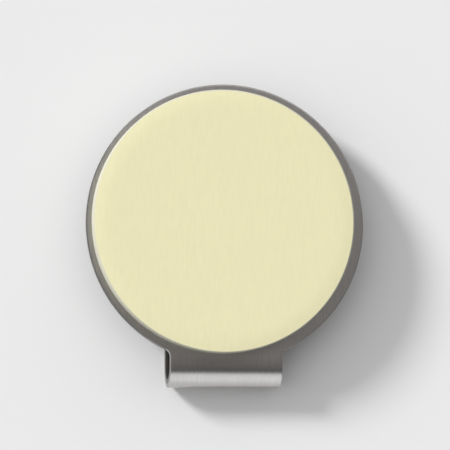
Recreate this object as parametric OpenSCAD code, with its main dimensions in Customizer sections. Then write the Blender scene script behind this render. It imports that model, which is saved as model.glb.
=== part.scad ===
// Magnetic ball marker on a folded spring-steel cap clip, in millimetres.
// The clip lies on its back: the plate's axis is Z, the fold is at the -Y end and runs along X.
// The origin is on the plate's axis, on its back face, the face that bears on the brim.

/* [Marker] */
// Diameter of the marker
marker_d = 25.4; // [22:0.1:31]
// Thickness of the marker
marker_t = 1.65; // [1.35:0.05:2.6]
// Radius of the marker's upper edge
marker_edge_r = 0.25; // [0.15:0.05:0.7]
// Width of the band, inside the edge, that falls away from the flat face
marker_crown_w = 1.5; // [1:0.1:4]
// How far the face has fallen at the outside of that band
marker_crown_drop = 0.06; // [0.04:0.02:0.14]
// Radius of the marker's lower edge
marker_foot_r = 0.15; // [0.1:0.05:0.3]
// How far the marker sits off the plate's axis along X
marker_shift_x = -0.34; // [-0.5:0.02:0.5]
// How far the marker sits off the plate's axis along Y
marker_shift_y = 0.12; // [-0.5:0.02:0.5]

/* [Marker core] */
// Wall of the shell round the steel core
shell_wall = 0.45; // [0.4:0.05:0.9]
// Thickness of the shell over the steel core
shell_top = 0.4; // [0.35:0.05:0.6]

/* [Clip plate] */
// Width of the plate's rim that shows round a centred marker
plate_rim = 0.8; // [0.4:0.1:2]
// Thickness of the clip's sheet
sheet_t = 0.8; // [0.6:0.05:1]
// Width of the tab that folds behind the plate
tab_w = 10.9; // [8:0.1:14]
// Radius in the two corners where the tab leaves the plate
tab_corner_r = 0.6; // [0.2:0.1:0.8]
// Straight length of the tab between the plate's rim and the fold
tab_reach = 0.46; // [0.3:0.02:2]

/* [Clip tongue] */
// Clear space between the plate and the tongue at the fold
brim_gap = 2.1; // [1.6:0.1:3]
// Length of the flat stretch behind the fold
heel_l = 5; // [3:0.1:6]
// Angle at which the tongue rises towards the plate, in degrees
rise_angle = 9; // [8:0.5:13]
// Space left between the tongue and the plate at the pinch line
pinch_gap = 0.25; // [0.15:0.05:0.5]
// Angle at which the lead-in lip falls away past the pinch line, in degrees
lip_angle = 22; // [18:1:35]
// Inside radius of the two shallow bends
bend_r = 1.5; // [1:0.1:3]
// Corner radius at the end of the lip
lip_corner_r = 2.4; // [1:0.1:3.6]

/* [Magnet] */
// Diameter of the magnet
magnet_d = 10; // [8:0.5:14]

/* [Hidden] */

$fn = 96;

// Clearances: glue line round the magnet, air under the marker, cut between the clip's two halves
magnet_bond = 0.05;
marker_seat = 0.02;
fold_seam = 0.02;
core_bond = 0.02;

// Degrees turned by each step of a drawn arc, and steps across the crowned band
arc_step = 6;
crown_steps = 10;
// How far a cutting shape runs past what it cuts
spare = 1;

plate_d = marker_d + 2 * plate_rim;

// Fold between the plate and the tongue
fold_inner_r = brim_gap / 2;
fold_outer_r = fold_inner_r + sheet_t;
fold_y = -(plate_d / 2 + tab_reach);
fold_z = -fold_inner_r;

// Tongue: its upper face rises from the heel to the pinch line and its lip falls by the same height
rise = brim_gap - pinch_gap;
rise_l = (rise - (2 * bend_r + sheet_t) * (1 - cos(rise_angle))) / sin(rise_angle);
lip_l = (rise - bend_r * (1 - cos(lip_angle))) / sin(lip_angle);
heel_bend = [fold_y + heel_l, bend_r - brim_gap];
pinch_bend = heel_bend + rise_l * [cos(rise_angle), sin(rise_angle)]
    + (2 * bend_r + sheet_t) * [sin(rise_angle), -cos(rise_angle)];
lip_end_y = pinch_bend[0] + (bend_r + sheet_t) * sin(lip_angle) + lip_l * cos(lip_angle);

// Marker
marker_z = sheet_t + marker_seat;
core_t = marker_t - shell_top;
core_d = marker_d - 2 * shell_wall;

// Points along an arc, from one angle to another
function arc(centre, r, from, to) =
    let (steps = ceil(abs(to - from) / arc_step))
    [for (i = [0 : steps])
        let (a = from + (to - from) * i / steps)
        centre + r * [cos(a), sin(a)]];

// Half outline of the marker: foot radius, wall, edge radius, crowned band, flat face
function marker_outline() =
    let (
        r = marker_d / 2,
        edge_y = marker_t - marker_crown_drop - marker_edge_r,
        face_r = r - marker_edge_r - marker_crown_w
    )
    concat(
        [[0, 0]],
        arc([r - marker_foot_r, marker_foot_r], marker_foot_r, -90, 0),
        arc([r - marker_edge_r, edge_y], marker_edge_r, 0, 90),
        crown(r - marker_edge_r, face_r),
        [[0, marker_t]]
    );

// The crowned band is a parabola that leaves the flat face without a corner
function crown(outer_r, inner_r) =
    [for (i = [1 : crown_steps])
        let (
            along = 1 - i / crown_steps,
            x = inner_r + (outer_r - inner_r) * along
        )
        [x, marker_t - marker_crown_drop * pow(along, 2)]];

// One face of the tongue behind the fold, at a depth under its upper face: heel, two bends, lip
function tongue_face(depth) =
    let (lip_start = pinch_bend + (bend_r + sheet_t - depth) * [sin(lip_angle), cos(lip_angle)])
    concat(
        [[fold_y, -brim_gap - depth]],
        arc(heel_bend, bend_r + depth, -90, -90 + rise_angle),
        arc(pinch_bend, bend_r + sheet_t - depth, 90 + rise_angle, 90 - lip_angle),
        [lip_start + lip_l * [cos(lip_angle), -sin(lip_angle)]]
    );

function reversed(points) = [for (i = [len(points) - 1 : -1 : 0]) points[i]];

// Part of a ring that starts on +X and turns by an angle under 180 degrees
module ring_sector(inner, outer, angle) {
    reach = 4 * outer;
    intersection() {
        difference() {
            circle(outer);
            circle(inner);
        }
        polygon([[0, 0], [reach, 0], reach * [cos(angle / 2), sin(angle / 2)],
            reach * [cos(angle), sin(angle)]]);
    }
}

// Stands a profile drawn in the YZ plane across the clip's width
module across_width(width) {
    rotate([90, 0, 90]) translate([0, 0, -width / 2]) linear_extrude(width) children();
}

// Small web that rounds the corner between the plate's rim and the tab's side
module tab_corner() {
    centre_x = tab_w / 2 + tab_corner_r;
    centre_r = plate_d / 2 + tab_corner_r;
    centre = [centre_x, -sqrt(pow(centre_r, 2) - pow(centre_x, 2))];
    rim_point = centre * (plate_d / 2) / centre_r;
    corner = [tab_w / 2, -sqrt(pow(plate_d, 2) - pow(tab_w, 2)) / 2];
    inward = [-tab_corner_r, 0];
    difference() {
        polygon([[tab_w / 2, centre[1]], centre, rim_point, rim_point * 0.98, corner + inward,
            [tab_w / 2, centre[1]] + inward]);
        translate(centre) circle(tab_corner_r);
    }
}

// Outline of the tongue seen along Z, with its rounded end
module tongue_outline() {
    start_y = fold_y - fold_outer_r - spare;
    corner_x = tab_w / 2 - lip_corner_r;
    corner_y = lip_end_y - lip_corner_r;
    translate([-tab_w / 2, start_y]) square([tab_w, corner_y - start_y]);
    translate([-corner_x, start_y]) square([2 * corner_x, lip_end_y - start_y]);
    for (side = [-1, 1]) translate([side * corner_x, corner_y]) circle(lip_corner_r);
}

// One quarter of the fold: side 1 is the plate's, side -1 the tongue's
module fold_quarter(side) {
    half_y = fold_outer_r + spare;
    across_width(tab_w) translate([fold_y, fold_z]) mirror([0, side > 0 ? 0 : 1]) intersection() {
        rotate(90) ring_sector(fold_inner_r, fold_outer_r, 90);
        translate([-half_y, fold_seam / 2]) square(half_y);
    }
}

module clip_plate() {
    color([0.48, 0.47, 0.45]) difference() {
        union() {
            linear_extrude(sheet_t) {
                circle(d = plate_d);
                translate([-tab_w / 2, fold_y]) square([tab_w, -fold_y]);
                tab_corner();
                mirror([1, 0]) tab_corner();
            }
            fold_quarter(1);
        }
        translate([0, 0, -spare]) cylinder(h = sheet_t + 2 * spare, d = magnet_d + 2 * magnet_bond);
    }
}

module clip_tongue() {
    color([0.48, 0.47, 0.45]) {
        fold_quarter(-1);
        intersection() {
            across_width(tab_w) polygon(concat(tongue_face(0), reversed(tongue_face(sheet_t))));
            translate([0, 0, -brim_gap - sheet_t - spare])
                linear_extrude(brim_gap + sheet_t + 2 * spare) tongue_outline();
        }
    }
}

module magnet() {
    color([0.75, 0.75, 0.76]) cylinder(h = sheet_t, d = magnet_d);
}

module marker_core() {
    color([0.6, 0.6, 0.6])
        translate([marker_shift_x, marker_shift_y, marker_z]) cylinder(h = core_t - core_bond, d = core_d);
}

module marker_shell() {
    color([0.9, 0.88, 0.7]) translate([marker_shift_x, marker_shift_y, marker_z]) difference() {
        rotate_extrude() polygon(marker_outline());
        translate([0, 0, -spare]) cylinder(h = core_t + spare, d = core_d + 2 * core_bond);
    }
}

clip_plate();
clip_tongue();
magnet();
marker_core();
marker_shell();
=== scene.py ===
import math

import bmesh
import bpy
from bpy.props import FloatProperty, FloatVectorProperty, IntProperty, PointerProperty
from bpy.types import Operator, Panel, PropertyGroup
from mathutils import Matrix, Vector


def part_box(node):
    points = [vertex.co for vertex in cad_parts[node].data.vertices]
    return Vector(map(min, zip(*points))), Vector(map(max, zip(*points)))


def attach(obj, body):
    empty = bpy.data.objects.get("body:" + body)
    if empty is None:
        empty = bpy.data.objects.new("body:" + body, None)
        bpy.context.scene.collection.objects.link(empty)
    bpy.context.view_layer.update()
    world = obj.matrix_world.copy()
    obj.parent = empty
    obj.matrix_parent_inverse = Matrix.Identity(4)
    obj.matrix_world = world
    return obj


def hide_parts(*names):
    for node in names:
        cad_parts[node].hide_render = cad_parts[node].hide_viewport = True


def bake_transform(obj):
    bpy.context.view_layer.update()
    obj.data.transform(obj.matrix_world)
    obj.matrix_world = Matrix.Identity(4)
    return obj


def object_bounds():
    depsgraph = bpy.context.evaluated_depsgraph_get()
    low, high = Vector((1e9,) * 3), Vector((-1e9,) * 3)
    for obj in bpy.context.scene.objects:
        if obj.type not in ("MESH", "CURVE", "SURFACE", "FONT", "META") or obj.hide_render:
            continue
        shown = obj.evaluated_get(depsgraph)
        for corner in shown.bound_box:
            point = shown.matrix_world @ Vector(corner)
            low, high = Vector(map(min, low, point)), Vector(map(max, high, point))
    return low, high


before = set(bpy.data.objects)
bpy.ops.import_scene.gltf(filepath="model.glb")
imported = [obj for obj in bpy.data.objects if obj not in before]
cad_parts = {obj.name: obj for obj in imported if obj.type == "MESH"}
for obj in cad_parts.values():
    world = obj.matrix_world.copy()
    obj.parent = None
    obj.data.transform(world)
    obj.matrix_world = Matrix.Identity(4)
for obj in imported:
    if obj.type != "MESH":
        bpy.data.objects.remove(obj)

bl_info = {
    "name": "Ball marker on a folded cap clip",
    "version": (1, 0, 0),
    "blender": (4, 5, 0),
    "location": "View3D > Sidebar > Ball Marker",
    "description": "Models a magnetic ball marker seated on a folded spring steel clip",
    "category": "Mesh",
}

CAD_LOW, CAD_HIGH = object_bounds()
PLATE_LOW, PLATE_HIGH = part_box("clip_plate")
TONGUE_LOW, TONGUE_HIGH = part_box("clip_tongue")
MAGNET_LOW, MAGNET_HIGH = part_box("magnet")
CORE_LOW, CORE_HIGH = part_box("marker_core")
SHELL_LOW, SHELL_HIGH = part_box("marker_shell")

MM = 0.001
BLANK_UV = "blank"
DEPTH_UV = "depth"

# Material slots past the first, which is the clip's brushed side or the marker's yellow face
# The rim's slot holds painted shade, a dark copy of the steel, and the mill side's slot holds steel darkened
# into painted shade inside the clip
CUT_EDGE, MILL_SIDE_AND_SHADE, RIM_SHADE = 1, 2, 3
# The marker's edge slot holds painted shade and highlight, a darker, greyer copy of its yellow
EDGE_SHADE = 1

# A face counts as flat when its normal's Z reaches this
FLAT_NORMAL_Z = 0.96
# Vertices nearer to each other than this become one
MERGE_DISTANCE = 0.002 * MM


# ---------------------------------------------------------------- settings

class ClipSheetSettings(PropertyGroup):
    """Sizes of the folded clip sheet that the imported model's boxes don't give"""

    left_corner_radius: FloatProperty(
        name="Left corner radius",
        description="Radius in the left corner where the tab leaves the round plate",
        default=0.75 * MM, min=0.1 * MM, max=1.0 * MM, precision=5, subtype="DISTANCE", unit="LENGTH",
    )
    right_corner_radius: FloatProperty(
        name="Right corner radius",
        description="Radius in the right corner where the tab leaves the round plate",
        default=0.35 * MM, min=0.1 * MM, max=1.0 * MM, precision=5, subtype="DISTANCE", unit="LENGTH",
    )
    tab_lean: FloatProperty(
        name="Tab lean",
        description="How far the tab sits to the right where it leaves the plate",
        default=0.11 * MM, min=0.0, max=0.3 * MM, precision=5, subtype="DISTANCE", unit="LENGTH",
    )
    heel_length: FloatProperty(
        name="Heel length",
        description="Length of the flat stretch behind the fold",
        default=5.0 * MM, min=3.0 * MM, max=6.0 * MM, precision=5, subtype="DISTANCE", unit="LENGTH",
    )
    rise_angle: FloatProperty(
        name="Rise angle",
        description="Angle at which the tongue rises towards the plate",
        default=math.radians(9.0), min=math.radians(8.0), max=math.radians(13.0), subtype="ANGLE",
    )
    lip_angle: FloatProperty(
        name="Lip angle",
        description="Angle at which the lead-in lip falls away past the pinch line",
        default=math.radians(22.0), min=math.radians(18.0), max=math.radians(35.0), subtype="ANGLE",
    )
    bend_radius: FloatProperty(
        name="Bend radius",
        description="Inside radius of the two shallow bends in the tongue",
        default=1.5 * MM, min=1.0 * MM, max=3.0 * MM, precision=5, subtype="DISTANCE", unit="LENGTH",
    )
    lip_corner_radius: FloatProperty(
        name="Lip corner radius",
        description="Corner radius at the end of the lip",
        default=2.4 * MM, min=1.0 * MM, max=3.6 * MM, precision=5, subtype="DISTANCE", unit="LENGTH",
    )
    hole_clearance: FloatProperty(
        name="Magnet hole clearance",
        description="Glue line between the magnet and the hole in the plate",
        default=0.05 * MM, min=0.02 * MM, max=0.2 * MM, precision=5, subtype="DISTANCE", unit="LENGTH",
    )
    edge_break: FloatProperty(
        name="Edge break",
        description="Width of the rounded break along every cut edge of the sheet",
        default=0.045 * MM, min=0.02 * MM, max=0.15 * MM, precision=5, subtype="DISTANCE", unit="LENGTH",
    )
    roll_over: FloatProperty(
        name="Roll-over depth",
        description="How far the blanked rim falls away towards its edge",
        default=0.025 * MM, min=0.0, max=0.08 * MM, precision=5, subtype="DISTANCE", unit="LENGTH",
    )


class MarkerSettings(PropertyGroup):
    """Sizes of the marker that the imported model's boxes don't give"""

    edge_radius: FloatProperty(
        name="Edge radius",
        description="Radius of the marker's upper edge",
        default=0.16 * MM, min=0.1 * MM, max=0.7 * MM, precision=5, subtype="DISTANCE", unit="LENGTH",
    )
    foot_radius: FloatProperty(
        name="Foot radius",
        description="Radius of the marker's lower edge",
        default=0.12 * MM, min=0.1 * MM, max=0.3 * MM, precision=5, subtype="DISTANCE", unit="LENGTH",
    )
    crown_width: FloatProperty(
        name="Crown width",
        description="Width of the band, inside the edge, that falls away from the flat face",
        default=1.5 * MM, min=1.0 * MM, max=4.0 * MM, precision=5, subtype="DISTANCE", unit="LENGTH",
    )
    crown_drop: FloatProperty(
        name="Crown drop",
        description="How far the face has fallen at the outside of that band",
        default=0.06 * MM, min=0.02 * MM, max=0.14 * MM, precision=5, subtype="DISTANCE", unit="LENGTH",
    )
    core_gap: FloatProperty(
        name="Core gap",
        description="Glue line between the steel core and its pocket",
        default=0.02 * MM, min=0.01 * MM, max=0.1 * MM, precision=5, subtype="DISTANCE", unit="LENGTH",
    )
    core_chamfer: FloatProperty(
        name="Core chamfer",
        description="Width of the broken edges of the steel core",
        default=0.12 * MM, min=0.05 * MM, max=0.3 * MM, precision=5, subtype="DISTANCE", unit="LENGTH",
    )
    magnet_chamfer: FloatProperty(
        name="Magnet chamfer",
        description="Width of the rounded edges of the plated magnet",
        default=0.15 * MM, min=0.05 * MM, max=0.3 * MM, precision=5, subtype="DISTANCE", unit="LENGTH",
    )
    turns: IntProperty(
        name="Steps round",
        description="Number of steps round each turned piece",
        default=192, min=48, max=384,
    )


class FinishSettings(PropertyGroup):
    """Base colours of the finishes"""

    steel: FloatVectorProperty(
        name="Clip steel", description="Reflected colour of the brushed clip sheet",
        subtype="COLOR", size=3, min=0.0, max=1.0, default=(0.56, 0.55, 0.54),
    )
    steel_edge: FloatVectorProperty(
        name="Cut edge", description="Reflected colour of the sheet's freshly cut edges",
        subtype="COLOR", size=3, min=0.0, max=1.0, default=(0.52, 0.51, 0.50),
    )
    # Painted shade: the plate's rim is given this dark copy of the steel
    steel_rim_shade: FloatVectorProperty(
        name="Tumbled rim", description="Reflected colour of the plate's tumbled rim",
        subtype="COLOR", size=3, min=0.0, max=1.0, default=(0.20, 0.196, 0.19),
    )
    # Partly painted shade: the sheet's underside, which lines the inside of the clip, is given this dark
    # grey
    steel_back_and_shade: FloatVectorProperty(
        name="Mill finish", description="Reflected colour of the unbrushed side of the clip sheet",
        subtype="COLOR", size=3, min=0.0, max=1.0, default=(0.24, 0.232, 0.22),
    )
    marker: FloatVectorProperty(
        name="Marker yellow", description="Colour of the marker's matte shell",
        subtype="COLOR", size=3, min=0.0, max=1.0, default=(0.837, 0.792, 0.504),
    )
    # Painted shade and highlight: the marker's edge and underside are given this darker, greyer copy of its
    # yellow
    marker_edge_shade: FloatVectorProperty(
        name="Marker edge", description="Colour of the marker's paler moulded edge",
        subtype="COLOR", size=3, min=0.0, max=1.0, default=(0.56, 0.55, 0.45),
    )
    core: FloatVectorProperty(
        name="Core steel", description="Reflected colour of the zinc plated core",
        subtype="COLOR", size=3, min=0.0, max=1.0, default=(0.60, 0.60, 0.60),
    )
    magnet: FloatVectorProperty(
        name="Magnet plating", description="Reflected colour of the nickel plated magnet",
        subtype="COLOR", size=3, min=0.0, max=1.0, default=(0.72, 0.69, 0.65),
    )
    glue: FloatVectorProperty(
        name="Glue", description="Colour of the set glue round the magnet",
        subtype="COLOR", size=3, min=0.0, max=1.0, default=(0.42, 0.39, 0.30),
    )


class StageSettings(PropertyGroup):
    """Floor, light and camera"""

    floor_colour: FloatVectorProperty(
        name="Floor", description="Colour of the floor and of what lies behind it",
        subtype="COLOR", size=3, min=0.0, max=1.0, default=(0.845, 0.845, 0.845),
    )
    floor_size: FloatProperty(
        name="Floor size", description="Length of the floor's sides",
        default=4.0, min=0.5, max=20.0, subtype="DISTANCE", unit="LENGTH",
    )
    key_direction: FloatVectorProperty(
        name="Key direction", description="Direction from the object towards the key light",
        subtype="DIRECTION", size=3, default=(-0.80, 0.54, 0.48),
    )
    key_strength: FloatProperty(
        name="Key strength", description="Strength of the key light",
        default=2.72, min=0.0, max=10.0,
    )
    key_angle: FloatProperty(
        name="Key softness", description="Angular size of the key light",
        default=math.radians(13.0), min=0.0, max=math.radians(90.0), subtype="ANGLE",
    )
    fill_direction: FloatVectorProperty(
        name="Fill direction", description="Side from which the soft fill is brightest",
        subtype="DIRECTION", size=3, default=(-0.6, 0.8, 0.0),
    )
    fill_low: FloatProperty(
        name="Fill low", description="Radiance of the fill on its dim side",
        default=0.03, min=0.0, max=2.0,
    )
    fill_high: FloatProperty(
        name="Fill high", description="Radiance of the fill on its bright side",
        default=1.58, min=0.0, max=3.0,
    )
    room_low: FloatProperty(
        name="Overhead dark", description="Scale of the dim radiance that metal mirrors from overhead",
        default=0.18, min=0.0, max=2.0,
    )
    room_tint: FloatVectorProperty(
        name="Overhead tint", description="Tint of what metal mirrors from overhead",
        subtype="COLOR", size=3, min=0.0, max=1.0, default=(1.0, 0.93, 0.90),
    )
    room_high: FloatProperty(
        name="Front wall", description="Radiance that metal mirrors from the wall beyond the fold",
        default=1.12, min=0.0, max=2.0,
    )
    room_side: FloatProperty(
        name="Back wall", description="Radiance that metal mirrors from the wall opposite the fold",
        default=2.9, min=0.0, max=4.0,
    )
    camera_direction: FloatVectorProperty(
        name="Camera direction", description="Direction from the object towards the camera",
        subtype="DIRECTION", size=3, default=(-0.15, -0.08, 0.985),
    )
    camera_distance: FloatProperty(
        name="Camera distance", description="Distance from the plate's face to the camera",
        default=0.362, min=0.05, max=5.0, subtype="DISTANCE", unit="LENGTH",
    )
    camera_field: FloatProperty(
        name="Field width", description="Width that the camera sees at the plate's face",
        default=43.44 * MM, min=10.0 * MM, max=200.0 * MM, precision=5, subtype="DISTANCE", unit="LENGTH",
    )
    camera_aim: FloatVectorProperty(
        name="Aim offset", description="Where the camera aims, from the middle of the plate's face",
        subtype="TRANSLATION", unit="LENGTH", size=3, precision=5, default=(-0.055 * MM, -0.15 * MM, 0.0),
    )


class BallMarkerSettings(PropertyGroup):
    """All settings of the ball marker"""

    clip: PointerProperty(type=ClipSheetSettings)
    marker: PointerProperty(type=MarkerSettings)
    finish: PointerProperty(type=FinishSettings)
    stage: PointerProperty(type=StageSettings)


# ---------------------------------------------------------------- node helpers

def add_node(tree, kind, place=(0, 0), **settings):
    """Adds one shader node and sets its own settings"""
    node = tree.nodes.new(kind)
    node.location = place
    for key, value in settings.items():
        setattr(node, key, value)
    return node


def set_inputs(node, **values):
    """Sets a node's sockets by name, with spaces written as underscores"""
    for key, value in values.items():
        node.inputs[key.replace("_", " ")].default_value = value


def new_finish(name):
    """An empty node material with its Principled shader"""
    material = bpy.data.materials.new(name)
    material.use_nodes = True
    shader = material.node_tree.nodes["Principled BSDF"]
    return material, material.node_tree, shader


def mapped(tree, source, scale, place, turn=(0.0, 0.0, 0.0)):
    """Coordinates in metres, scaled to the pattern's cells per metre along each axis"""
    mapping = add_node(tree, "ShaderNodeMapping", place)
    mapping.inputs["Scale"].default_value = scale
    mapping.inputs["Rotation"].default_value = turn
    tree.links.new(source, mapping.inputs["Vector"])
    return mapping.outputs["Vector"]


def noise(tree, vector, place, detail, roughness):
    """A noise pattern on coordinates that are already scaled"""
    texture = add_node(tree, "ShaderNodeTexNoise", place)
    set_inputs(texture, Scale=1.0, Detail=detail, Roughness=roughness)
    tree.links.new(vector, texture.inputs["Vector"])
    return texture.outputs["Fac"]


def ranged(tree, value, place, from_range, to_range, **settings):
    """A value moved from one range into another and held there"""
    node = add_node(tree, "ShaderNodeMapRange", place, **settings)
    node.inputs["From Min"].default_value = from_range[0]
    node.inputs["From Max"].default_value = from_range[1]
    node.inputs["To Min"].default_value = to_range[0]
    node.inputs["To Max"].default_value = to_range[1]
    tree.links.new(value, node.inputs["Value"])
    return node.outputs["Result"]


def mixed(tree, factor, first, second, place):
    """Two colours mixed; each may be a colour or a socket"""
    node = add_node(tree, "ShaderNodeMix", place, data_type="RGBA")
    for slot, value in (("A", first), ("B", second)):
        socket = next(i for i in node.inputs if i.name == slot and i.type == "RGBA")
        if isinstance(value, bpy.types.NodeSocket):
            tree.links.new(value, socket)
        else:
            socket.default_value = (*value, 1.0)
    if isinstance(factor, bpy.types.NodeSocket):
        tree.links.new(factor, node.inputs[0])
    else:
        node.inputs[0].default_value = factor
    return next(o for o in node.outputs if o.type == "RGBA")


def calculated(tree, operation, first, second, place):
    """Arithmetic on two values; each may be a number or a socket"""
    node = add_node(tree, "ShaderNodeMath", place, operation=operation)
    for index, value in enumerate((first, second)):
        if isinstance(value, bpy.types.NodeSocket):
            tree.links.new(value, node.inputs[index])
        else:
            node.inputs[index].default_value = value
    return node.outputs[0]


def bumped(tree, height, place, strength, distance, under=None):
    """A bump from a height pattern, over another bump if one is given"""
    node = add_node(tree, "ShaderNodeBump", place)
    set_inputs(node, Strength=strength, Distance=distance)
    tree.links.new(height, node.inputs["Height"])
    if under is not None:
        tree.links.new(under, node.inputs["Normal"])
    return node.outputs["Normal"]


def shade(colour, amount):
    """A colour made lighter or darker"""
    return tuple(min(1.0, c * amount) for c in colour)


# ---------------------------------------------------------------- finishes

def brushed_steel(colour, fold_y):
    """Satin steel brushed along the blank's length, with painted shade darkening the tab beside the fold"""
    material, tree, shader = new_finish("clip_brushed_steel")
    blank = add_node(tree, "ShaderNodeUVMap", (-1500, 200), uv_map=BLANK_UV).outputs["UV"]
    fine = noise(tree, mapped(tree, blank, (9000.0, 260.0, 1.0), (-1300, 300)), (-1080, 300), 3.0, 0.6)
    hair = noise(tree, mapped(tree, blank, (22000.0, 500.0, 1.0), (-1300, 0)), (-1080, 0), 2.0, 0.5)
    band = noise(tree, mapped(tree, blank, (2200.0, 70.0, 1.0), (-1300, -300)), (-1080, -300), 2.0, 0.5)
    stain = noise(tree, mapped(tree, blank, (420.0, 300.0, 1.0), (-1300, -600)), (-1080, -600), 3.0, 0.55)
    streaks = calculated(tree, "ADD", fine, hair, (-860, 200))
    streak_tone = ranged(tree, streaks, (-660, 200), (0.75, 1.25), (0.0, 1.0))
    tone = mixed(tree, streak_tone, shade(colour, 0.92), shade(colour, 1.08), (-440, 300))
    stain_tone = ranged(tree, stain, (-660, -400), (0.35, 0.7), (0.0, 0.35))
    tone = mixed(tree, stain_tone, tone, shade(colour, 0.90), (-220, 300))
    # Painted shade, a darker copy of the steel, fades in along the end of the tab and out again just inside
    # the fold
    fade_in = (fold_y + 1.1 * MM, fold_y)
    fade_out = (fold_y - 0.15 * MM, fold_y - 0.5 * MM)
    raggedness = 0.12 * MM
    position = add_node(tree, "ShaderNodeSeparateXYZ", (-1300, 600))
    tree.links.new(blank, position.inputs["Vector"])
    ragged = ranged(tree, fine, (-1080, 600), (0.3, 0.7), (-raggedness, raggedness))
    along = calculated(tree, "ADD", position.outputs["Y"], ragged, (-860, 600))
    start = ranged(tree, along, (-660, 700), fade_in, (0.0, 1.0))
    end = ranged(tree, along, (-660, 500), fade_out, (1.0, 0.0))
    fold_shade = calculated(tree, "MULTIPLY", start, end, (-440, 600))
    tone = mixed(tree, fold_shade, tone, shade(colour, 0.66), (-120, 500))
    wear = calculated(tree, "ADD", fine, band, (-860, -100))
    rough = ranged(tree, wear, (-660, -100), (0.7, 1.3), (0.36, 0.42))
    tree.links.new(tone, shader.inputs["Base Color"])
    tree.links.new(rough, shader.inputs["Roughness"])
    scratch = noise(tree, mapped(tree, blank, (7000.0, 1500.0, 1.0), (-1300, -900)), (-1080, -900), 3.0, 0.6)
    under = bumped(tree, hair, (-440, -200), 0.2, 0.000004)
    tree.links.new(bumped(tree, scratch, (-220, -200), 0.4, 0.000009, under), shader.inputs["Normal"])
    tangent = add_node(tree, "ShaderNodeTangent", (-440, -450), direction_type="UV_MAP", uv_map=BLANK_UV)
    tree.links.new(tangent.outputs["Tangent"], shader.inputs["Tangent"])
    set_inputs(shader, Metallic=1.0, Anisotropic=0.5)
    return material


def cut_steel(colour):
    """Sheared edge of the sheet: bright beside the brushed face and dull where it broke away"""
    material, tree, shader = new_finish("clip_cut_edge")
    blank = add_node(tree, "ShaderNodeUVMap", (-1300, 200), uv_map=BLANK_UV).outputs["UV"]
    nicks = noise(tree, mapped(tree, blank, (9000.0, 9000.0, 1.0), (-1100, 200)), (-880, 200), 3.0, 0.6)
    broad = noise(tree, mapped(tree, blank, (900.0, 900.0, 1.0), (-1100, -100)), (-880, -100), 2.0, 0.5)
    tone = mixed(tree, ranged(tree, nicks, (-660, 200), (0.35, 0.65), (0.0, 1.0)),
                 shade(colour, 0.82), shade(colour, 1.1), (-440, 200))
    level = add_node(tree, "ShaderNodeUVMap", (-1300, 500), uv_map=DEPTH_UV).outputs["UV"]
    depth = add_node(tree, "ShaderNodeSeparateXYZ", (-1100, 500))
    tree.links.new(level, depth.inputs["Vector"])
    tone = mixed(tree, ranged(tree, depth.outputs["X"], (-660, 500), (0.45, 0.62), (1.0, 0.0)),
                 tone, shade(colour, 0.45), (-220, 200))
    tree.links.new(tone, shader.inputs["Base Color"])
    tree.links.new(ranged(tree, broad, (-660, -100), (0.3, 0.7), (0.34, 0.50)), shader.inputs["Roughness"])
    tree.links.new(bumped(tree, nicks, (-440, -200), 0.4, 0.000006), shader.inputs["Normal"])
    set_inputs(shader, Metallic=1.0)
    return material


def shaded_rim_steel(colour):
    """Round plate's rim with a peened, tumbled texture, painted dark grey as shade: this dark copy of the
    steel holds down the rim's highlight and gives it a dark outer line
    """
    material, tree, shader = new_finish("clip_rim_painted_shade")
    blank = add_node(tree, "ShaderNodeUVMap", (-1300, 200), uv_map=BLANK_UV).outputs["UV"]
    peened = noise(tree, mapped(tree, blank, (6000.0, 6000.0, 1.0), (-1100, 200)), (-880, 200), 3.0, 0.6)
    broad = noise(tree, mapped(tree, blank, (700.0, 700.0, 1.0), (-1100, -100)), (-880, -100), 2.0, 0.5)
    tone = mixed(tree, ranged(tree, peened, (-660, 200), (0.35, 0.65), (0.0, 1.0)),
                 shade(colour, 0.85), shade(colour, 1.15), (-440, 200))
    tree.links.new(tone, shader.inputs["Base Color"])
    tree.links.new(ranged(tree, broad, (-660, -100), (0.3, 0.7), (0.42, 0.55)), shader.inputs["Roughness"])
    tree.links.new(bumped(tree, peened, (-440, -200), 0.3, 0.000006), shader.inputs["Normal"])
    set_inputs(shader, Metallic=1.0)
    return material


def shaded_mill_side(colour):
    """Dull rolled side of the sheet, which the brushing never reached, darkened into painted shade for the
    inside of the clip
    """
    material, tree, shader = new_finish("clip_mill_side_and_shade")
    blank = add_node(tree, "ShaderNodeUVMap", (-1300, 200), uv_map=BLANK_UV).outputs["UV"]
    rolled = noise(tree, mapped(tree, blank, (2600.0, 420.0, 1.0), (-1100, 300)), (-880, 300), 4.0, 0.6)
    mottle = noise(tree, mapped(tree, blank, (520.0, 520.0, 1.0), (-1100, 0)), (-880, 0), 3.0, 0.55)
    tone = mixed(tree, ranged(tree, rolled, (-660, 300), (0.3, 0.7), (0.0, 1.0)),
                 shade(colour, 0.88), shade(colour, 1.10), (-440, 300))
    tone = mixed(tree, ranged(tree, mottle, (-660, 0), (0.35, 0.7), (0.0, 0.5)),
                 tone, shade(colour, 0.78), (-220, 300))
    tree.links.new(tone, shader.inputs["Base Color"])
    tree.links.new(ranged(tree, mottle, (-660, -200), (0.3, 0.7), (0.46, 0.58)), shader.inputs["Roughness"])
    tree.links.new(bumped(tree, rolled, (-440, -300), 0.25, 0.000006), shader.inputs["Normal"])
    set_inputs(shader, Metallic=1.0)
    return material


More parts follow.
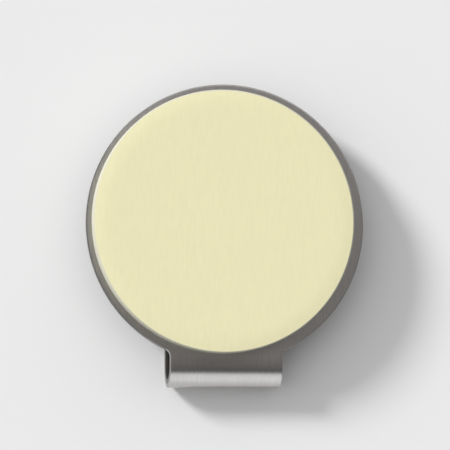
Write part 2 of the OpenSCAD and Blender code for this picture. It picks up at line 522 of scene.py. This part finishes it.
def marker_yellow(colour):
    """Matte pale yellow with a fine grain along the length"""
    material, tree, shader = new_finish("marker_matte_yellow")
    place = add_node(tree, "ShaderNodeTexCoord", (-1500, 200)).outputs["Object"]
    grain = noise(tree, mapped(tree, place, (4200.0, 700.0, 1500.0), (-1300, 300)), (-1080, 300), 3.0, 0.55)
    speck = noise(tree, mapped(tree, place, (9000.0, 9000.0, 9000.0), (-1300, 0)), (-1080, 0), 2.0, 0.5)
    cloud = noise(tree, mapped(tree, place, (260.0, 160.0, 200.0), (-1300, -300)), (-1080, -300), 2.0, 0.5)
    tone = mixed(tree, ranged(tree, grain, (-860, 300), (0.3, 0.7), (0.0, 1.0)),
                 shade(colour, 0.972), shade(colour, 1.022), (-640, 300))
    tone = mixed(tree, ranged(tree, cloud, (-860, -300), (0.3, 0.7), (0.0, 0.5)),
                 tone, shade(colour, 0.985), (-440, 300))
    tree.links.new(tone, shader.inputs["Base Color"])
    tree.links.new(ranged(tree, speck, (-860, 0), (0.3, 0.7), (0.52, 0.62)), shader.inputs["Roughness"])
    under = bumped(tree, grain, (-640, -100), 0.25, 0.000010)
    tree.links.new(bumped(tree, speck, (-440, -100), 0.15, 0.000006, under), shader.inputs["Normal"])
    set_inputs(shader, Metallic=0.0, IOR=1.45, Specular_IOR_Level=0.3)
    return material


def shaded_marker_edge(colour):
    """Painted shade and highlight on the marker's edge and underside: darker than its yellow, so the edge
    facing the low key stays near the face's brightness, and greyer, like the edge's whitish highlight
    """
    material, tree, shader = new_finish("marker_edge_painted_shade")
    place = add_node(tree, "ShaderNodeTexCoord", (-1500, 200)).outputs["Object"]
    layer = noise(tree, mapped(tree, place, (700.0, 700.0, 5200.0), (-1300, 300)), (-1080, 300), 3.0, 0.55)
    speck = noise(tree, mapped(tree, place, (6000.0, 6000.0, 6000.0), (-1300, 0)), (-1080, 0), 2.0, 0.5)
    tone = mixed(tree, ranged(tree, layer, (-860, 300), (0.3, 0.7), (0.0, 1.0)),
                 shade(colour, 0.965), shade(colour, 1.02), (-640, 300))
    tree.links.new(tone, shader.inputs["Base Color"])
    tree.links.new(ranged(tree, speck, (-860, 0), (0.3, 0.7), (0.50, 0.62)), shader.inputs["Roughness"])
    tree.links.new(bumped(tree, layer, (-640, -100), 0.2, 0.000008), shader.inputs["Normal"])
    set_inputs(shader, Metallic=0.0, IOR=1.45, Specular_IOR_Level=0.3)
    return material


def zinc_core(colour):
    """Zinc plated steel with turned marks"""
    material, tree, shader = new_finish("core_zinc")
    place = add_node(tree, "ShaderNodeTexCoord", (-1500, 200)).outputs["Object"]
    blotch = noise(tree, mapped(tree, place, (900.0, 900.0, 900.0), (-1300, 300)), (-1080, 300), 4.0, 0.6)
    fleck = noise(tree, mapped(tree, place, (5200.0, 5200.0, 5200.0), (-1300, 0)), (-1080, 0), 3.0, 0.6)
    tone = mixed(tree, ranged(tree, blotch, (-860, 300), (0.35, 0.65), (0.0, 1.0)),
                 shade(colour, 0.86), shade(colour, 1.1), (-640, 300))
    tree.links.new(tone, shader.inputs["Base Color"])
    tree.links.new(ranged(tree, fleck, (-860, 0), (0.3, 0.7), (0.32, 0.48)), shader.inputs["Roughness"])
    tree.links.new(bumped(tree, fleck, (-640, -100), 0.3, 0.000008), shader.inputs["Normal"])
    set_inputs(shader, Metallic=1.0)
    return material


def nickel_plating(colour):
    """Bright nickel with light scuffs"""
    material, tree, shader = new_finish("magnet_nickel")
    place = add_node(tree, "ShaderNodeTexCoord", (-1500, 200)).outputs["Object"]
    scuff = noise(tree, mapped(tree, place, (7000.0, 500.0, 900.0), (-1300, 300), (0.0, 0.0, 0.6)),
                  (-1080, 300), 4.0, 0.65)
    haze = noise(tree, mapped(tree, place, (600.0, 600.0, 600.0), (-1300, 0)), (-1080, 0), 3.0, 0.5)
    tone = mixed(tree, ranged(tree, haze, (-860, 0), (0.35, 0.65), (0.0, 1.0)),
                 shade(colour, 0.93), shade(colour, 1.05), (-640, 200))
    tree.links.new(tone, shader.inputs["Base Color"])
    tree.links.new(ranged(tree, scuff, (-860, 300), (0.4, 0.75), (0.16, 0.34)), shader.inputs["Roughness"])
    tree.links.new(bumped(tree, scuff, (-640, -100), 0.15, 0.000005), shader.inputs["Normal"])
    set_inputs(shader, Metallic=1.0)
    return material


def set_glue(colour):
    """Cured glue, slightly milky"""
    material, tree, shader = new_finish("magnet_glue")
    place = add_node(tree, "ShaderNodeTexCoord", (-1100, 200)).outputs["Object"]
    cloud = noise(tree, mapped(tree, place, (2500.0, 2500.0, 2500.0), (-900, 200)), (-680, 200), 2.0, 0.5)
    tone = mixed(tree, ranged(tree, cloud, (-460, 200), (0.3, 0.7), (0.0, 1.0)),
                 shade(colour, 0.8), shade(colour, 1.15), (-240, 200))
    tree.links.new(tone, shader.inputs["Base Color"])
    tree.links.new(ranged(tree, cloud, (-460, -100), (0.3, 0.7), (0.25, 0.45)), shader.inputs["Roughness"])
    set_inputs(shader, IOR=1.5)
    return material


def floor_finish(colour):
    """Plain pale paper"""
    material, tree, shader = new_finish("floor_paper")
    place = add_node(tree, "ShaderNodeTexCoord", (-900, 200)).outputs["Object"]
    fibre = noise(tree, mapped(tree, place, (700.0, 700.0, 700.0), (-700, 200)), (-480, 200), 2.0, 0.5)
    tone = mixed(tree, fibre, shade(colour, 0.998), shade(colour, 1.002), (-240, 200))
    tree.links.new(tone, shader.inputs["Base Color"])
    set_inputs(shader, Roughness=1.0, Specular_IOR_Level=0.0)
    return material


# ---------------------------------------------------------------- mesh helpers

def put_in_scene(name, shape, finishes):
    """Turns a bmesh into a smooth shaded object with its materials"""
    mesh = bpy.data.meshes.new(name)
    shape.to_mesh(mesh)
    shape.free()
    for finish in finishes:
        mesh.materials.append(finish)
    mesh.shade_smooth()
    piece = bpy.data.objects.new(name, mesh)
    bpy.context.scene.collection.objects.link(piece)
    return piece


def weight_normals(piece):
    """Keeps broad faces flat beside their rounded edges"""
    modifier = piece.modifiers.new("even_faces", "WEIGHTED_NORMAL")
    modifier.keep_sharp = True
    modifier.weight = 80


def line_of_vertices(shape, points):
    """An open line through the points"""
    verts = [shape.verts.new(point) for point in points]
    edges = [shape.edges.new(pair) for pair in zip(verts, verts[1:])]
    return verts, edges


def round_corner(shape, corner, radius, segments):
    """Rounds one corner of an outline"""
    bmesh.ops.bevel(
        shape, geom=[corner], offset=radius, offset_type="OFFSET", segments=segments,
        profile=0.5, affect="VERTICES", material=-1, clamp_overlap=False,
    )


def spin_outline(shape, axis_point, turns):
    """Turns an outline once round the vertical axis and closes it"""
    bmesh.ops.spin(
        shape, geom=shape.verts[:] + shape.edges[:], cent=axis_point, axis=(0.0, 0.0, 1.0),
        dvec=(0.0, 0.0, 0.0), angle=2.0 * math.pi, steps=turns, use_merge=True,
        use_normal_flip=False, use_duplicate=False,
    )
    bmesh.ops.remove_doubles(shape, verts=shape.verts[:], dist=MERGE_DISTANCE)
    bmesh.ops.recalc_face_normals(shape, faces=shape.faces[:])


# ---------------------------------------------------------------- clip sheet

class SheetPlan:
    """Measures of the flat blank and of the path that it is bent along"""

    def __init__(self, settings):
        self.radius = PLATE_HIGH.x
        self.thickness = PLATE_HIGH.z
        self.gap = -TONGUE_LOW.z - self.thickness
        self.fold_radius = (self.gap + self.thickness) / 2.0
        self.fold_y = TONGUE_LOW.y + self.gap / 2.0 + self.thickness
        self.hole_radius = MAGNET_HIGH.x + settings.hole_clearance
        self.lip_corner = settings.lip_corner_radius
        self.edge_break = settings.edge_break
        self.roll_over = settings.roll_over
        # Radius of the arc, inside the rim, from which the tab's rows are drawn
        self.neck = self.radius - 2.5 * MM
        self.tongue_half = TONGUE_HIGH.x
        # Left and right side of the tab: where its edge lies, and the corner that joins it to the rim
        self.sides = [
            self.corner(-1.0, self.tongue_half - settings.tab_lean, settings.left_corner_radius),
            self.corner(1.0, self.tongue_half + settings.tab_lean, settings.right_corner_radius),
        ]

        rise = self.gap + TONGUE_HIGH.z
        bend = settings.bend_radius
        sheet_bend = bend + self.thickness / 2.0
        up = settings.rise_angle
        down = settings.lip_angle
        slope = (rise - (2.0 * bend + self.thickness) * (1.0 - math.cos(up))) / math.sin(up)
        lip = (rise - bend * (1.0 - math.cos(down))) / math.sin(down)
        self.fold_length = math.pi * self.fold_radius
        self.heel_length = settings.heel_length
        # Each stretch of the path: its length, the angle that it turns through and its rows
        self.path = (
            (self.fold_length, math.pi, 48),
            (self.heel_length, 0.0, 8),
            (sheet_bend * up, up, 4),
            (slope, 0.0, 6),
            (sheet_bend * (up + down), -(up + down), 8),
            (lip, 0.0, 4),
        )
        self.length = sum(stretch for stretch, turn, count in self.path)
        self.seam = self.fold_length + self.heel_length / 2.0

    def corner(self, side, edge_x, corner_radius):
        """One rounded corner between the plate's rim and the tab's side"""
        reach_x = edge_x + corner_radius
        reach_r = self.radius + corner_radius
        return {
            "side": side,
            "edge_x": edge_x,
            "radius": corner_radius,
            "angle": math.asin(reach_x / reach_r),
            "centre_y": -math.sqrt(reach_r ** 2 - reach_x ** 2),
        }

    def bent(self, point):
        """Where a point of the flat blank goes when the sheet is bent"""
        along = self.fold_y - point.y
        if along <= 0.0:
            return point.copy()
        y, z, angle = self.fold_y, self.thickness / 2.0, 0.0
        for stretch, turn, count in self.path:
            step = min(along, stretch)
            part = turn * step / stretch
            if abs(turn) < 1e-9:
                y -= step * math.cos(angle)
                z -= step * math.sin(angle)
            else:
                radius = stretch / turn
                y -= radius * (math.sin(angle + part) - math.sin(angle))
                z -= radius * (math.cos(angle) - math.cos(angle + part))
            angle += part
            along -= step
            if along <= 0.0:
                break
        if along > 0.0:
            y -= along * math.cos(angle)
            z -= along * math.sin(angle)
        off = point.z - self.thickness / 2.0
        return Vector((point.x, y - off * math.sin(angle), z + off * math.cos(angle)))

    def beside_tab(self, point):
        """0 in the tab and 1 well to either side of it, or anywhere on the plate's other half"""
        if point.y > 0.0:
            return 1.0
        clear = 0.8 * MM
        fade = 1.5 * MM
        return min(1.0, max(0.0, (abs(point.x) - self.tongue_half - clear) / fade))

    def on_tab(self, point):
        """Whether a point of the blank belongs to the tab, its corners or the tongue"""
        corner = max(side["angle"] for side in self.sides)
        past_rim = point.y < -self.radius * math.cos(corner) + 0.1 * MM
        return past_rim and abs(point.x) < self.radius * math.sin(corner)

    def neck_rows(self, radii):
        """Rows whose ends follow the cut between the tab's sector and the rest of the plate"""
        rows = []
        for r in radii:
            ends = [
                (side["side"] * r * math.sin(side["angle"]), -r * math.cos(side["angle"]))
                for side in self.sides
            ]
            rows.append((ends, (r - self.neck) / (self.radius - self.neck)))
        return rows

    def corner_rows(self, steps):
        """Rows whose ends follow the two rounded corners"""
        rows = []
        for i in range(1, steps + 1):
            ends = []
            for side in self.sides:
                lean = (math.pi / 2.0 - side["angle"]) * (1.0 - i / steps)
                x = side["edge_x"] + side["radius"] * (1.0 - math.cos(lean))
                y = side["centre_y"] + side["radius"] * math.sin(lean)
                ends.append((side["side"] * x, y))
            rows.append((ends, 1.0))
        return rows

    def tab_rows(self, steps):
        """Rows between the corners and the fold, which end level with each other"""
        rows = []
        for i in range(1, steps + 1):
            share = i / steps
            ends = [
                (side["side"] * side["edge_x"], side["centre_y"] + (self.fold_y - side["centre_y"]) * share)
                for side in self.sides
            ]
            rows.append((ends, 1.0))
        return rows

    def tongue_rows(self, lip_steps):
        """Rows along the fold and the tongue, down to the rounded end of the lip"""
        stations = []
        start = 0.0
        for stretch, turn, count in self.path:
            stations += [start + stretch * i / count for i in range(1, count + 1)]
            start += stretch
        rounding = self.length - self.lip_corner
        stations = [s for s in stations if s < rounding - 0.1 * MM] + [rounding]
        rows = []
        for s in stations:
            settled = min(1.0, s / self.fold_length)
            halves = [side["edge_x"] + (self.tongue_half - side["edge_x"]) * settled for side in self.sides]
            rows.append(([(-halves[0], self.fold_y - s), (halves[1], self.fold_y - s)], 1.0))
        for i in range(1, lip_steps + 1):
            turn = math.pi / 2.0 * i / lip_steps
            x = self.tongue_half - self.lip_corner * (1.0 - math.cos(turn))
            y = self.fold_y - rounding - self.lip_corner * math.sin(turn)
            rows.append(([(-x, y), (x, y)], 1.0))
        return rows


def draw_blank(plan):
    """The flat blank: a round plate with its hole, and the long tab"""
    shape = bmesh.new()
    tab_steps = 30
    plate_steps = 176
    beside_hole = 0.25 * MM
    inner = [plan.hole_radius, plan.hole_radius + beside_hole, 7.0 * MM, 9.0 * MM, plan.neck]
    # The rings crowd together towards the rim, where the face rolls over
    outer = [plan.radius - step * MM for step in (1.8, 1.2, 0.9, 0.7, 0.5, 0.35, 0.2)] + [plan.radius]
    left, right = plan.sides
    start = -math.pi / 2.0 - left["angle"]
    tab_angle = left["angle"] + right["angle"]
    for first, angle, radii, steps in (
        (start, tab_angle, inner, tab_steps),
        (start + tab_angle, 2.0 * math.pi - tab_angle, inner + outer, plate_steps),
    ):
        points = [(r * math.cos(first), r * math.sin(first), 0.0) for r in radii]
        verts, edges = line_of_vertices(shape, points)
        bmesh.ops.spin(
            shape, geom=verts + edges, cent=(0.0, 0.0, 0.0), axis=(0.0, 0.0, 1.0),
            dvec=(0.0, 0.0, 0.0), angle=angle, steps=steps, use_merge=False,
            use_normal_flip=False, use_duplicate=False,
        )
    bmesh.ops.remove_doubles(shape, verts=shape.verts[:], dist=MERGE_DISTANCE)

    row = [edge for edge in shape.edges if all(in_neck(plan, v.co) for v in edge.verts)]
    left_x, left_y = -plan.neck * math.sin(left["angle"]), -plan.neck * math.cos(left["angle"])
    right_x, right_y = plan.neck * math.sin(right["angle"]), -plan.neck * math.cos(right["angle"])
    shares = {}
    for edge in row:
        for v in edge.verts:
            share = (v.co.x - left_x) / (right_x - left_x)
            shares[place_key(v.co)] = (share, v.co.y - left_y - (right_y - left_y) * share)
    rows = plan.neck_rows(outer) + plan.corner_rows(8) + plan.tab_rows(5) + plan.tongue_rows(12)
    for ((x0, y0), (x1, y1)), straight in rows:
        made = bmesh.ops.extrude_edge_only(shape, edges=row)["geom"]
        row = [item for item in made if isinstance(item, bmesh.types.BMEdge)]
        moved = {}
        for v in (item for item in made if isinstance(item, bmesh.types.BMVert)):
            share, bulge = shares[place_key(v.co)]
            v.co.x = x0 + (x1 - x0) * share
            v.co.y = y0 + (y1 - y0) * share + bulge * (1.0 - straight)
            moved[place_key(v.co)] = (share, bulge)
        shares = moved
        row = [edge for edge in row if all(place_key(v.co) in shares for v in edge.verts)]
    bmesh.ops.remove_doubles(shape, verts=shape.verts[:], dist=MERGE_DISTANCE)
    return shape


def place_key(point):
    """A point as whole numbers of ten nanometres, to find it again"""
    return tuple(round(c * 1e8) for c in point)


def in_neck(plan, point):
    """Whether a point lies on the arc that the tab grows from"""
    on_arc = abs(point.xy.length - plan.neck) < 0.01 * MM
    angle = math.atan2(point.x, -point.y)
    left, right = plan.sides
    slack = 1e-4
    return on_arc and -left["angle"] - slack < angle < right["angle"] + slack


def thicken_blank(shape, plan):
    """Gives the flat blank its thickness, rim roll-over, broken edges and material slots"""
    made = bmesh.ops.extrude_face_region(shape, geom=shape.faces[:])["geom"]
    top = [item for item in made if isinstance(item, bmesh.types.BMVert)]
    bmesh.ops.translate(shape, verts=top, vec=(0.0, 0.0, plan.thickness))
    reach = 1.4 * MM
    steepness = 1.4
    for v in top:
        inside = plan.radius - v.co.xy.length
        if inside < reach:
            share = (reach - max(inside, 0.0)) / reach
            v.co.z -= plan.roll_over * plan.beside_tab(v.co) * share ** steepness
    bmesh.ops.recalc_face_normals(shape, faces=shape.faces[:])
    sharp_angle = math.radians(60.0)
    sharp = [edge for edge in shape.edges if edge.is_manifold and edge.calc_face_angle() > sharp_angle]
    bmesh.ops.bevel(
        shape, geom=sharp, offset=plan.edge_break, offset_type="OFFSET", segments=3,
        profile=0.5, affect="EDGES", material=-1, clamp_overlap=False,
    )
    shape.normal_update()
    for face in shape.faces:
        face.smooth = True
        # Sideways faces take the cut edge on the tab and the rim's painted shade elsewhere; downward faces
        # take the mill side darkened into painted shade
        if abs(face.normal.z) < FLAT_NORMAL_Z:
            face.material_index = CUT_EDGE if plan.on_tab(face.calc_center_median()) else RIM_SHADE
        elif face.normal.z < 0.0:
            face.material_index = MILL_SIDE_AND_SHADE


def part_of_blank(blank, plan, keep_plate):
    """One side of the seam across the heel, closed, given its blank coordinates and bent to shape"""
    shape = blank.copy()
    hairline = 0.004 * MM
    seam_y = plan.fold_y - plan.seam + (hairline if keep_plate else -hairline)
    cut = bmesh.ops.bisect_plane(
        shape, geom=shape.verts[:] + shape.edges[:] + shape.faces[:], dist=0.0005 * MM,
        plane_co=(0.0, seam_y, 0.0), plane_no=(0.0, 1.0, 0.0),
        clear_inner=keep_plate, clear_outer=not keep_plate,
    )["geom_cut"]
    rim = [item for item in cut if isinstance(item, bmesh.types.BMEdge)]
    for edge in rim:
        edge.smooth = False
    bmesh.ops.holes_fill(shape, edges=rim, sides=0)
    flat = shape.loops.layers.uv.new(BLANK_UV)
    depth = shape.loops.layers.uv.new(DEPTH_UV)
    for face in shape.faces:
        for loop in face.loops:
            loop[flat].uv = loop.vert.co.xy
            loop[depth].uv = (loop.vert.co.z / plan.thickness, 0.5)
    for v in shape.verts:
        v.co = plan.bent(v.co)
    bmesh.ops.recalc_face_normals(shape, faces=shape.faces[:])
    return shape


class MARKER_OT_clip_sheet(Operator):
    """Make the folded steel sheet of the clip: plate, tab and fold, and the spring tongue behind"""

    bl_idname = "ball_marker.clip_sheet"
    bl_label = "Clip Sheet"
    bl_options = {"REGISTER", "UNDO"}

    def execute(self, context):
        settings = context.scene.ball_marker
        plan = SheetPlan(settings.clip)
        blank = draw_blank(plan)
        thicken_blank(blank, plan)
        finishes = [
            brushed_steel(settings.finish.steel, plan.fold_y),
            cut_steel(settings.finish.steel_edge),
            shaded_mill_side(settings.finish.steel_back_and_shade),
            shaded_rim_steel(settings.finish.steel_rim_shade),
        ]

        sheet = put_in_scene("clip_sheet", part_of_blank(blank, plan, True), finishes)
        weight_normals(sheet)
        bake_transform(sheet)
        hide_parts("clip_plate")

        leaf = put_in_scene("clip_leaf", part_of_blank(blank, plan, False), finishes)
        weight_normals(leaf)
        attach(leaf, "tongue")
        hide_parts("clip_tongue")
        blank.free()
        return {"FINISHED"}


# ---------------------------------------------------------------- marker and magnet

def marker_axis():
    """Point on the marker's own axis, at the height of its lower face"""
    middle = (SHELL_LOW + SHELL_HIGH) / 2.0
    return Vector((middle.x, middle.y, SHELL_LOW.z))


class MARKER_OT_marker_shell(Operator):
    """Make the marker's pale yellow shell, with its crowned face and the pocket for the core"""

    bl_idname = "ball_marker.marker_shell"
    bl_label = "Marker Shell"
    bl_options = {"REGISTER", "UNDO"}

    def execute(self, context):
        settings = context.scene.ball_marker
        sizes = settings.marker
        axis = marker_axis()
        radius = (SHELL_HIGH.x - SHELL_LOW.x) / 2.0
        pocket_radius = (CORE_HIGH.x - CORE_LOW.x) / 2.0 + sizes.core_gap
        pocket_top = CORE_HIGH.z + sizes.core_gap
        low = SHELL_LOW.z
        high = SHELL_HIGH.z
        band_outer = radius - sizes.edge_radius
        band_inner = band_outer - sizes.crown_width
        shape = bmesh.new()
        wall_middle = low + 0.45 * (high - low)
        pocket_round = 0.05 * MM
        face_line = [(band_inner * share, high) for share in (0.0, 0.4, 0.8, 1.0)]
        band_steps = 12
        for i in range(1, band_steps):
            along = i / band_steps
            face_line.append((band_inner + sizes.crown_width * along, high - sizes.crown_drop * along ** 2))
        outline = face_line + [
            (radius, high - sizes.crown_drop),
            (radius, wall_middle),
            (radius, low),
            (pocket_radius, low),
            (pocket_radius, pocket_top),
            (pocket_radius * 0.5, pocket_top),
            (0.0, pocket_top),
        ]
        points = [(axis.x + x, axis.y, z) for x, z in outline]
        verts = line_of_vertices(shape, points)[0]
        edge_corner = verts[len(face_line)]
        foot_corner = verts[len(face_line) + 2]
        pocket_corner = verts[len(face_line) + 3]
        round_corner(shape, edge_corner, sizes.edge_radius, segments=14)
        round_corner(shape, foot_corner, sizes.foot_radius, segments=6)
        round_corner(shape, pocket_corner, pocket_round, segments=2)
        spin_outline(shape, axis, sizes.turns)
        shape.normal_update()
        # Faces that turn away from straight up take the edge's painted shade and highlight
        for face in shape.faces:
            if face.normal.z < FLAT_NORMAL_Z:
                face.material_index = EDGE_SHADE
        finishes = [marker_yellow(settings.finish.marker), shaded_marker_edge(settings.finish.marker_edge_shade)]
        piece = put_in_scene("marker_shell_turned", shape, finishes)
        weight_normals(piece)
        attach(piece, "marker")
        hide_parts("marker_shell")
        return {"FINISHED"}


def turned_disc(name, low, high, chamfer, turns, finish):
    """A disc between two box corners, with rounded edges"""
    centre = (low + high) / 2.0
    radius = (high.x - low.x) / 2.0
    shape = bmesh.new()
    rings = (0.0, 0.5, 0.9, 1.0)
    outline = [(radius * share, high.z) for share in rings]
    outline += [(radius * share, low.z) for share in reversed(rings)]
    verts = line_of_vertices(shape, [(centre.x + x, centre.y, z) for x, z in outline])[0]
    for corner in (verts[len(rings) - 1], verts[len(rings)]):
        round_corner(shape, corner, chamfer, segments=4)
    spin_outline(shape, (centre.x, centre.y, 0.0), turns)
    piece = put_in_scene(name, shape, [finish])
    weight_normals(piece)
    return piece


class MARKER_OT_marker_core(Operator):
    """Make the zinc plated steel disc inside the marker, which the magnet holds"""

    bl_idname = "ball_marker.marker_core"
    bl_label = "Marker Core"
    bl_options = {"REGISTER", "UNDO"}

    def execute(self, context):
        settings = context.scene.ball_marker
        sizes = settings.marker
        finish = zinc_core(settings.finish.core)
        piece = turned_disc(
            "marker_core_turned", CORE_LOW, CORE_HIGH, sizes.core_chamfer, sizes.turns, finish,
        )
        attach(piece, "marker")
        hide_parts("marker_core")
        return {"FINISHED"}


def glue_ring(clearance, turns, finish):
    """The glue between the magnet and its hole, sunk below both faces and a little hollow"""
    hairline = 0.004 * MM
    recess = 0.12 * MM
    sag = 0.02 * MM
    inner = MAGNET_HIGH.x + hairline
    outer = MAGNET_HIGH.x + clearance - hairline
    low = MAGNET_LOW.z + recess
    high = MAGNET_HIGH.z - recess
    middle = (inner + outer) / 2.0
    outline = [
        (inner, high), (middle, high - sag), (outer, high),
        (outer, low), (middle, low + sag), (inner, low), (inner, high),
    ]
    shape = bmesh.new()
    line_of_vertices(shape, [(x, 0.0, z) for x, z in outline])
    spin_outline(shape, (0.0, 0.0, 0.0), turns)
    return put_in_scene("magnet_bond", shape, [finish])


class MARKER_OT_magnet(Operator):
    """Make the plated magnet set in the plate, and the glue line round it"""

    bl_idname = "ball_marker.magnet"
    bl_label = "Magnet"
    bl_options = {"REGISTER", "UNDO"}

    def execute(self, context):
        settings = context.scene.ball_marker
        sizes = settings.marker
        finish = nickel_plating(settings.finish.magnet)
        magnet = turned_disc(
            "magnet_plated", MAGNET_LOW, MAGNET_HIGH, sizes.magnet_chamfer, sizes.turns, finish,
        )
        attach(magnet, "clip")
        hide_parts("magnet")

        bond = glue_ring(settings.clip.hole_clearance, sizes.turns, set_glue(settings.finish.glue))
        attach(bond, "clip")
        return {"FINISHED"}


# ---------------------------------------------------------------- stage

def lay_floor(stage):
    """A wide flat floor that the heel stands on"""
    shape = bmesh.new()
    bmesh.ops.create_grid(shape, x_segments=1, y_segments=1, size=stage.floor_size / 2.0)
    bmesh.ops.translate(shape, verts=shape.verts[:], vec=(0.0, 0.0, CAD_LOW.z))
    floor = put_in_scene("floor", shape, [floor_finish(stage.floor_colour)])


def hang_light(name, direction, strength, softness):
    """A distant soft light"""
    light = bpy.data.lights.new(name, "SUN")
    light.energy = strength
    light.angle = softness
    lamp = bpy.data.objects.new(name, light)
    towards = Vector(direction).normalized()
    lamp.rotation_mode = "QUATERNION"
    lamp.rotation_quaternion = towards.to_track_quat("Z", "Y")
    lamp.location = towards * 0.5
    # Its glare would turn the brushed steel white from low angles
    lamp.visible_glossy = False
    bpy.context.scene.collection.objects.link(lamp)


def facing(tree, direction, towards, place):
    """How far a direction points the given way: 1 along it and -1 against it"""
    node = add_node(tree, "ShaderNodeVectorMath", place, operation="DOT_PRODUCT")
    tree.links.new(direction, node.inputs[0])
    node.inputs[1].default_value = Vector(towards).normalized()
    return node.outputs["Value"]


def paint_room(stage):
    """The surroundings, which differ by ray.

    The camera sees the floor's colour and matte surfaces take a fill that is brighter from one side.
    Metal mirrors a dim ceiling between a wall beyond the fold and a brighter wall opposite it.
    """
    world = bpy.data.worlds.new("room")
    world.use_nodes = True
    world.cycles.sampling_method = "NONE"
    tree = world.node_tree
    tree.nodes.clear()
    direction = add_node(tree, "ShaderNodeTexCoord", (-1500, 0)).outputs["Generated"]

    # Ways to face, and how far towards each the fill, the ceiling and the walls start and are full
    to_front = (0.0, -1.0, 0.0)
    to_front_right = (0.8, -1.0, 0.0)
    to_back = (0.2, 1.0, 0.0)
    fill_span = (-0.85, 1.0)
    overhead_span = (-0.5, 0.40)
    front_edge = (0.42, 0.50)
    back_edge = (0.35, 0.70)
    # The ceiling's radiance where it is brightest and where it is dimmest
    overhead_levels = (stage.room_low * 2.2, stage.room_low * 0.5)

    lighter = facing(tree, direction, stage.fill_direction, (-1200, 500))
    fill = ranged(tree, lighter, (-1000, 500), fill_span, (stage.fill_low, stage.fill_high))
    lit = add_node(tree, "ShaderNodeBackground", (-400, 400))
    tree.links.new(fill, lit.inputs["Strength"])

    across = facing(tree, direction, to_front_right, (-1200, 350))
    overhead = ranged(tree, across, (-1000, 350), overhead_span, overhead_levels)
    ahead = facing(tree, direction, to_front, (-1200, 200))
    front = ranged(tree, ahead, (-1000, 150), front_edge, (0.0, stage.room_high),
                   interpolation_type="SMOOTHSTEP")
    behind = facing(tree, direction, to_back, (-1200, 0))
    back = ranged(tree, behind, (-1000, -50), back_edge, (0.0, stage.room_side),
                  interpolation_type="SMOOTHSTEP")
    walls = calculated(tree, "MAXIMUM", front, back, (-800, 50))
    level = calculated(tree, "MAXIMUM", overhead, walls, (-600, 150))
    tint = mixed(tree, ranged(tree, level, (-600, -50), (stage.room_low, 4.0 * stage.room_low), (0.0, 1.0)),
                 stage.room_tint, (1.0, 1.0, 1.0), (-500, -200))
    mirrored = add_node(tree, "ShaderNodeBackground", (-400, 200))
    tree.links.new(tint, mirrored.inputs["Color"])
    tree.links.new(level, mirrored.inputs["Strength"])
    seen = add_node(tree, "ShaderNodeBackground", (-400, 0))
    seen.inputs["Color"].default_value = (*stage.floor_colour, 1.0)

    path = add_node(tree, "ShaderNodeLightPath", (-400, 700))
    metal = add_node(tree, "ShaderNodeMixShader", (-150, 250))
    choice = add_node(tree, "ShaderNodeMixShader", (50, 100))
    output = add_node(tree, "ShaderNodeOutputWorld", (250, 100))
    tree.links.new(path.outputs["Is Glossy Ray"], metal.inputs[0])
    tree.links.new(lit.outputs[0], metal.inputs[1])
    tree.links.new(mirrored.outputs[0], metal.inputs[2])
    tree.links.new(path.outputs["Is Camera Ray"], choice.inputs[0])
    tree.links.new(metal.outputs[0], choice.inputs[1])
    tree.links.new(seen.outputs[0], choice.inputs[2])
    tree.links.new(choice.outputs[0], output.inputs["Surface"])
    bpy.context.scene.world = world


def place_camera(stage):
    """A long lens above the plate, tilted a little to the left and towards the fold"""
    data = bpy.data.cameras.new("camera")
    data.sensor_width = 36.0
    data.lens = data.sensor_width * stage.camera_distance / stage.camera_field
    data.clip_start = 0.01
    data.clip_end = 20.0
    camera = bpy.data.objects.new("camera", data)
    back = Vector(stage.camera_direction).normalized()
    right = Vector((0.0, 1.0, 0.0)).cross(back).normalized()
    up = back.cross(right)
    aim = Vector((0.0, 0.0, PLATE_HIGH.z)) + Vector(stage.camera_aim)
    turn = Matrix((right, up, back)).transposed().to_4x4()
    camera.matrix_world = Matrix.Translation(aim + back * stage.camera_distance) @ turn
    bpy.context.scene.collection.objects.link(camera)
    bpy.context.scene.camera = camera


class MARKER_OT_stage(Operator):
    """Lay the pale floor and set up the light, the room and the camera"""

    bl_idname = "ball_marker.stage"
    bl_label = "Stage"
    bl_options = {"REGISTER", "UNDO"}

    def execute(self, context):
        stage = context.scene.ball_marker.stage
        lay_floor(stage)
        hang_light("key_light", stage.key_direction, stage.key_strength, stage.key_angle)
        paint_room(stage)
        place_camera(stage)
        context.scene.view_settings.view_transform = "Standard"
        return {"FINISHED"}


# ---------------------------------------------------------------- panel and registration

class MARKER_PT_sidebar(Panel):
    """Settings and build steps of the ball marker"""

    bl_idname = "MARKER_PT_sidebar"
    bl_label = "Ball Marker"
    bl_space_type = "VIEW_3D"
    bl_region_type = "UI"
    bl_category = "Ball Marker"

    def draw(self, context):
        settings = context.scene.ball_marker
        for title, group in (
            ("Clip sheet", settings.clip), ("Marker and magnet", settings.marker),
            ("Finishes", settings.finish), ("Stage", settings.stage),
        ):
            box = self.layout.box()
            box.label(text=title)
            for name in group.__annotations__:
                box.prop(group, name)
        for step in STEPS:
            self.layout.operator(step.bl_idname)


STEPS = (
    MARKER_OT_stage,
    MARKER_OT_clip_sheet,
    MARKER_OT_magnet,
    MARKER_OT_marker_core,
    MARKER_OT_marker_shell,
)

CLASSES = (
    ClipSheetSettings,
    MarkerSettings,
    FinishSettings,
    StageSettings,
    BallMarkerSettings,
    *STEPS,
    MARKER_PT_sidebar,
)


def register():
    """Adds the settings, the build steps and the panel to Blender"""
    for cls in CLASSES:
        bpy.utils.register_class(cls)
    bpy.types.Scene.ball_marker = PointerProperty(type=BallMarkerSettings)


def unregister():
    """Takes them out again"""
    del bpy.types.Scene.ball_marker
    for cls in reversed(CLASSES):
        bpy.utils.unregister_class(cls)


def main():
    """Builds every piece"""
    register()
    bpy.ops.ball_marker.stage()
    bpy.ops.ball_marker.clip_sheet()
    bpy.ops.ball_marker.magnet()
    bpy.ops.ball_marker.marker_core()
    bpy.ops.ball_marker.marker_shell()


if __name__ == "__main__":
    main()
